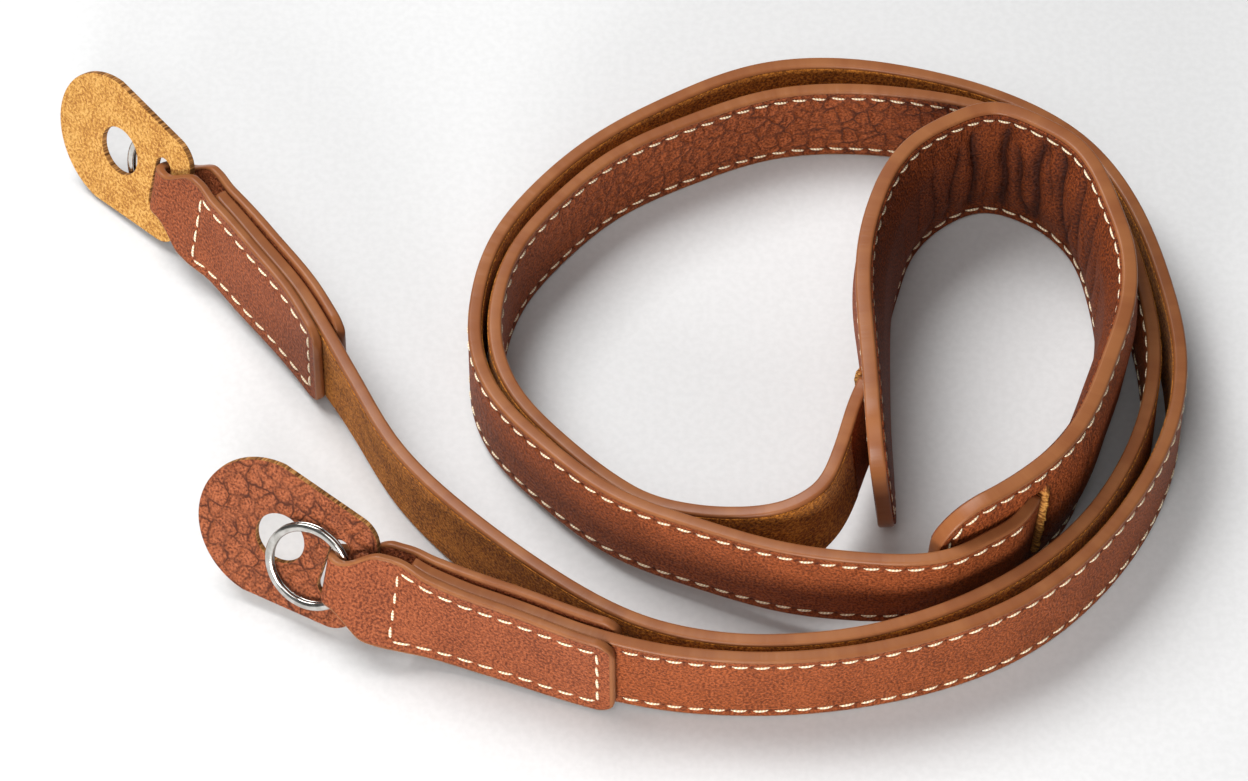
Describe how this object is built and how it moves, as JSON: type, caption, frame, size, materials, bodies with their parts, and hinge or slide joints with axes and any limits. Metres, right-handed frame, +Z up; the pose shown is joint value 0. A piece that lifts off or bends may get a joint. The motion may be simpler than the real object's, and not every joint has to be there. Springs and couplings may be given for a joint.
{
  "type": "camera neck strap",
  "caption": "Tan leather camera neck strap lying in a loose coil, with a padded neck pad, stitched end tabs, split rings and lug protectors.",
  "frame": {"origin": "middle of the bottom of the whole strap's box, on the surface that it lies on", "axes": "+Z up; +Y away from the viewer, from the two end tabs' side toward the back of the coil; +X to the viewer's right"},
  "size_m": [0.1742, 0.1184, 0.0261],
  "materials": {
    "grain_leather": "satin",
    "suede_backing": "matt",
    "lining_leather": "satin",
    "protector_leather": "satin",
    "polished_steel": "polished"
  },
  "bodies": {
    "root": {"strap_a_leather": "grain_leather", "strap_b_leather": "grain_leather", "strap_a_suede": "suede_backing", "strap_b_suede": "suede_backing", "pad_outer": "grain_leather", "pad_lining": "lining_leather", "end_tab_a": "grain_leather", "end_tab_b": "grain_leather", "lug_protector_a": "protector_leather", "lug_protector_b": "protector_leather", "split_ring_a": "polished_steel", "split_ring_b": "polished_steel"}
  },
  "joints": []
}
